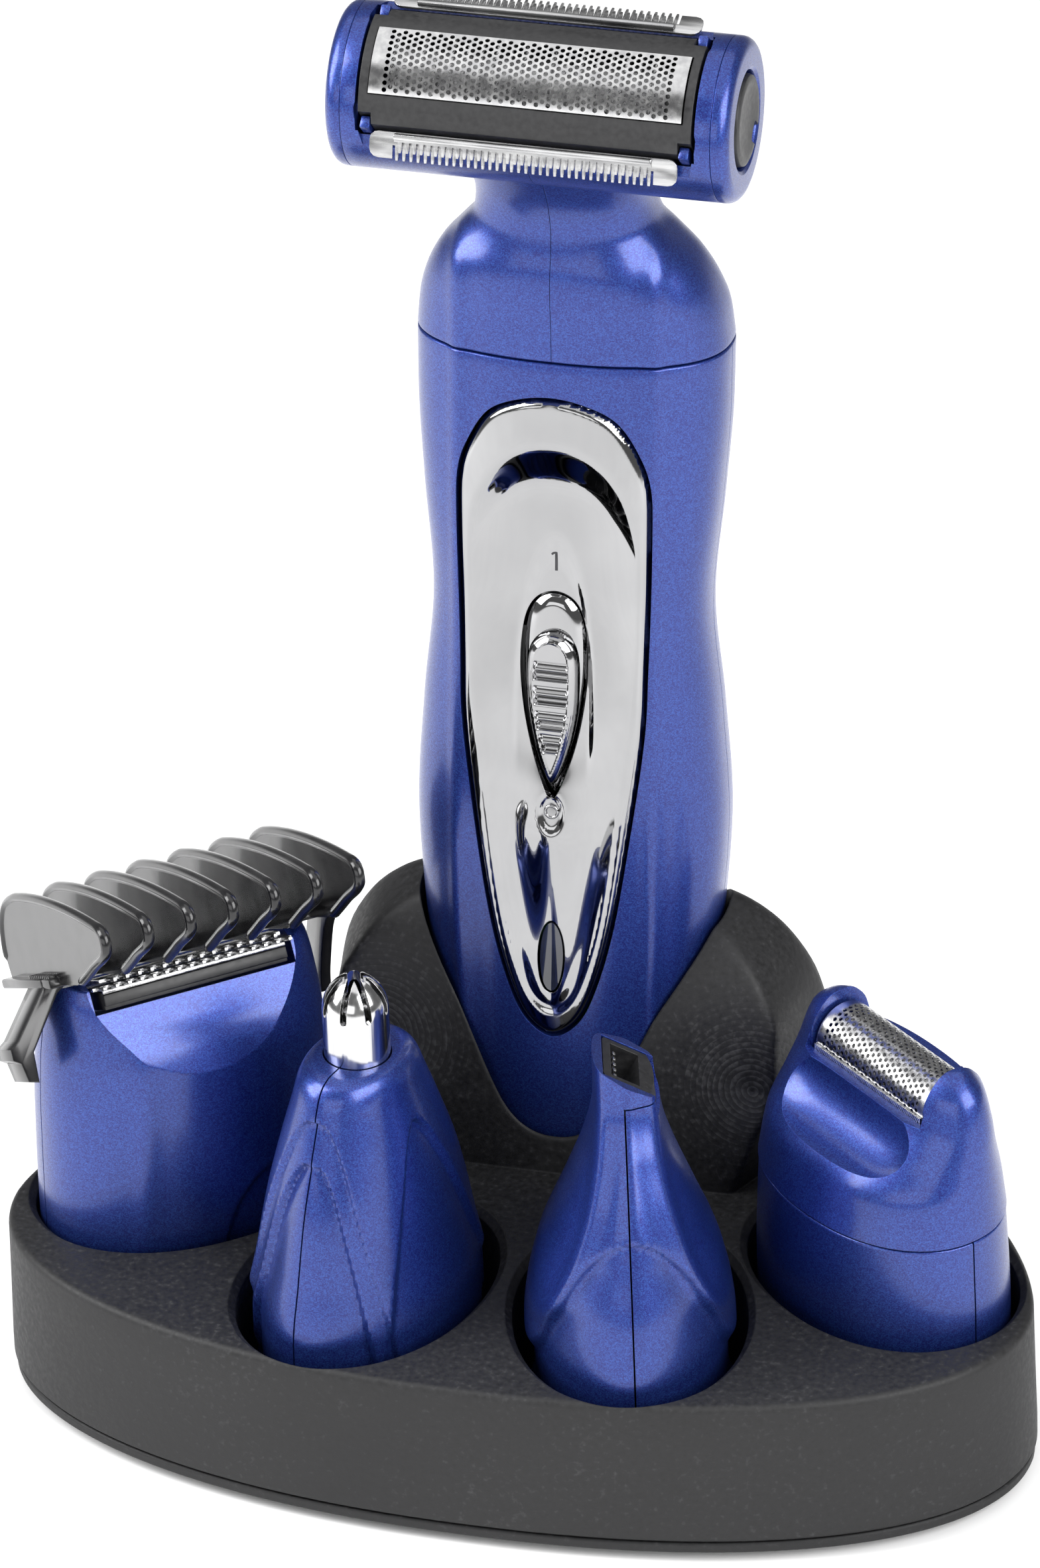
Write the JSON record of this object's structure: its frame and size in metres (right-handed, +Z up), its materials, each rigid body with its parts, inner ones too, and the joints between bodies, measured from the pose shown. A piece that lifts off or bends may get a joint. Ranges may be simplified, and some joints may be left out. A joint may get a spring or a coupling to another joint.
{
  "type": "body groomer",
  "caption": "Cordless body groomer with a T-shaped foil shaving head, upright in a storage stand that also holds clipper, nose, precision and mini shaver heads.",
  "frame": {"origin": "on the table, under the middle of the stand", "axes": "+Z up, -Y towards the front of the stand, +X to the right seen from the front"},
  "size_m": [0.1339, 0.0839, 0.1794],
  "materials": {
    "blue_paint": "metallic blue lacquer over moulded plastic",
    "chrome_panel": "mirror plated",
    "steel": "fine brushed, bright edges",
    "foil_steel": "perforated foil, polished",
    "black_plastic": "satin black moulding",
    "comb_plastic": "polished black moulding",
    "stand_plastic": "fine grained dark grey moulding",
    "pad_rubber": "non-slip pad",
    "white_plastic": "acetal drive parts",
    "circuit_board": "solder resist",
    "battery_sleeve": "shrink sleeve",
    "motor_steel": "drawn can",
    "lens": "dark translucent lens",
    "seal_rubber": "soft seal"
  },
  "bodies": {
    "stand": {"stand_body": "stand_plastic", "stand_bottom_cover": "stand_plastic", "stand_base_pad": "pad_rubber", "stand_screw_1": "steel", "stand_screw_2": "steel", "stand_screw_3": "steel", "stand_screw_4": "steel"},
    "handset": {"handset_front_shell": "blue_paint", "handset_rear_shell": "blue_paint", "handset_chrome_panel": "chrome_panel", "handset_led_lens": "lens", "handset_circuit_board": "circuit_board", "handset_battery": "battery_sleeve", "handset_motor": "motor_steel", "handset_motor_mount": "black_plastic", "handset_spigot": "black_plastic", "handset_seal_ring": "seal_rubber", "handset_charging_socket": "black_plastic", "handset_screw_1": "steel", "handset_screw_2": "steel"},
    "power_switch": {"power_switch_button": "chrome_panel", "power_switch_carrier": "black_plastic"},
    "drive_eccentric": {"drive_eccentric": "white_plastic"},
    "shaver_head": {"shaver_housing_left": "blue_paint", "shaver_housing_right": "blue_paint", "shaver_end_cap_left": "blue_paint", "shaver_end_cap_right": "blue_paint", "shaver_chassis": "black_plastic", "foil_spring_left": "steel", "foil_spring_right": "steel", "front_trimmer_comb": "steel", "rear_trimmer_comb": "steel"},
    "foil_frame": {"foil_frame": "black_plastic", "shaver_foil": "foil_steel"},
    "foil_cutter": {"shaver_cutter": "steel"},
    "drive_lever": {"drive_lever": "white_plastic"},
    "front_trimmer_blade": {"front_trimmer_blade": "steel"},
    "rear_trimmer_blade": {"rear_trimmer_blade": "steel"},
    "release_button_left": {"release_button_left": "black_plastic"},
    "release_button_right": {"release_button_right": "black_plastic"},
    "clipper_head": {"clipper_rear_shell": "blue_paint", "clipper_front_shell": "blue_paint", "clipper_blade_holder": "black_plastic", "clipper_fixed_blade": "steel"},
    "clipper_moving_blade": {"clipper_moving_blade": "steel"},
    "guide_comb": {"clipper_guide_comb": "comb_plastic"},
    "nose_head": {"nose_left_shell": "blue_paint", "nose_right_shell": "blue_paint", "nose_guard_tube": "steel"},
    "nose_rotor": {"nose_rotor": "steel"},
    "precision_head": {"precision_left_shell": "blue_paint", "precision_right_shell": "blue_paint", "precision_tip_insert": "black_plastic"},
    "precision_blade": {"precision_blade": "steel"},
    "mini_head": {"mini_shaver_cap": "blue_paint", "mini_collar_left": "blue_paint", "mini_collar_right": "blue_paint", "mini_foil": "foil_steel"},
    "mini_cutter": {"mini_cutter": "steel"}
  },
  "joints": [
    {"name": "handset_lift", "type": "slide", "parent": "stand", "child": "handset", "axis": [0, 0.1184, 0.993], "range_m": [0, 0.05]},
    {"name": "power_switch_slide", "type": "slide", "parent": "handset", "child": "power_switch", "axis": [0, 0.1184, 0.993], "range_m": [0, 0.004]},
    {"name": "motor_spin", "type": "hinge", "parent": "handset", "child": "drive_eccentric", "pos_m": [0, 0.02949, 0.12909], "axis": [0, 0.1184, 0.993], "continuous": true},
    {"name": "shaver_head_pull", "type": "slide", "parent": "handset", "child": "shaver_head", "axis": [0, 0.1184, 0.993], "range_m": [0, 0.02]},
    {"name": "foil_float", "type": "slide", "parent": "shaver_head", "child": "foil_frame", "axis": [0, 0.6845, -0.729], "range_m": [0, 0.0008], "stiffness_N_per_m": 600, "springref_m": -0.001},
    {"name": "drive_rocker", "type": "hinge", "parent": "shaver_head", "child": "drive_lever", "pos_m": [0, 0.02648, 0.1511], "axis": [0, 0.993, -0.1184], "range_deg": [-2.7, 2.7]},
    {"name": "cutter_slide", "type": "slide", "parent": "foil_frame", "child": "foil_cutter", "axis": [1, 0, 0], "range_m": [-0.0009, 0.0009]},
    {"name": "front_blade_slide", "type": "slide", "parent": "shaver_head", "child": "front_trimmer_blade", "axis": [1, 0, 0], "range_m": [-0.001, 0.001]},
    {"name": "rear_blade_slide", "type": "slide", "parent": "shaver_head", "child": "rear_trimmer_blade", "axis": [1, 0, 0], "range_m": [-0.001, 0.001]},
    {"name": "release_left_press", "type": "slide", "parent": "shaver_head", "child": "release_button_left", "axis": [1, 0, 0], "range_m": [0, 0.0012], "stiffness_N_per_m": 500, "springref_m": -0.0006},
    {"name": "release_right_press", "type": "slide", "parent": "shaver_head", "child": "release_button_right", "axis": [-1, 0, 0], "range_m": [0, 0.0012], "stiffness_N_per_m": 500, "springref_m": -0.0006},
    {"name": "clipper_head_lift", "type": "slide", "parent": "stand", "child": "clipper_head", "axis": [0, 0, 1], "range_m": [0, 0.02]},
    {"name": "clipper_blade_slide", "type": "slide", "parent": "clipper_head", "child": "clipper_moving_blade", "axis": [-0.7716, -0.6361, 0], "range_m": [-0.0008, 0.0008]},
    {"name": "guide_comb_pull", "type": "slide", "parent": "clipper_head", "child": "guide_comb", "axis": [0, 0, 1], "range_m": [0, 0.015]},
    {"name": "nose_head_lift", "type": "slide", "parent": "stand", "child": "nose_head", "axis": [0, 0, 1], "range_m": [0, 0.02]},
    {"name": "nose_rotor_spin", "type": "hinge", "parent": "nose_head", "child": "nose_rotor", "pos_m": [-0.0167, -0.0203, 0.05], "axis": [0, 0, 1], "continuous": true},
    {"name": "precision_head_lift", "type": "slide", "parent": "stand", "child": "precision_head", "axis": [0, 0, 1], "range_m": [0, 0.02]},
    {"name": "precision_blade_slide", "type": "slide", "parent": "precision_head", "child": "precision_blade", "axis": [0.2823, -0.9593, 0], "range_m": [-0.0003, 0.0003]},
    {"name": "mini_head_lift", "type": "slide", "parent": "stand", "child": "mini_head", "axis": [0, 0, 1], "range_m": [0, 0.02]},
    {"name": "mini_cutter_slide", "type": "slide", "parent": "mini_head", "child": "mini_cutter", "axis": [0.7716, -0.6361, 0], "range_m": [-0.0008, 0.0008]}
  ],
  "couplings": [
    {"joint": "drive_rocker", "follows": "cutter_slide", "rad_per_m": 49.5},
    {"joint": "front_blade_slide", "follows": "cutter_slide", "ratio": 1},
    {"joint": "rear_blade_slide", "follows": "cutter_slide", "ratio": -1}
  ]
}
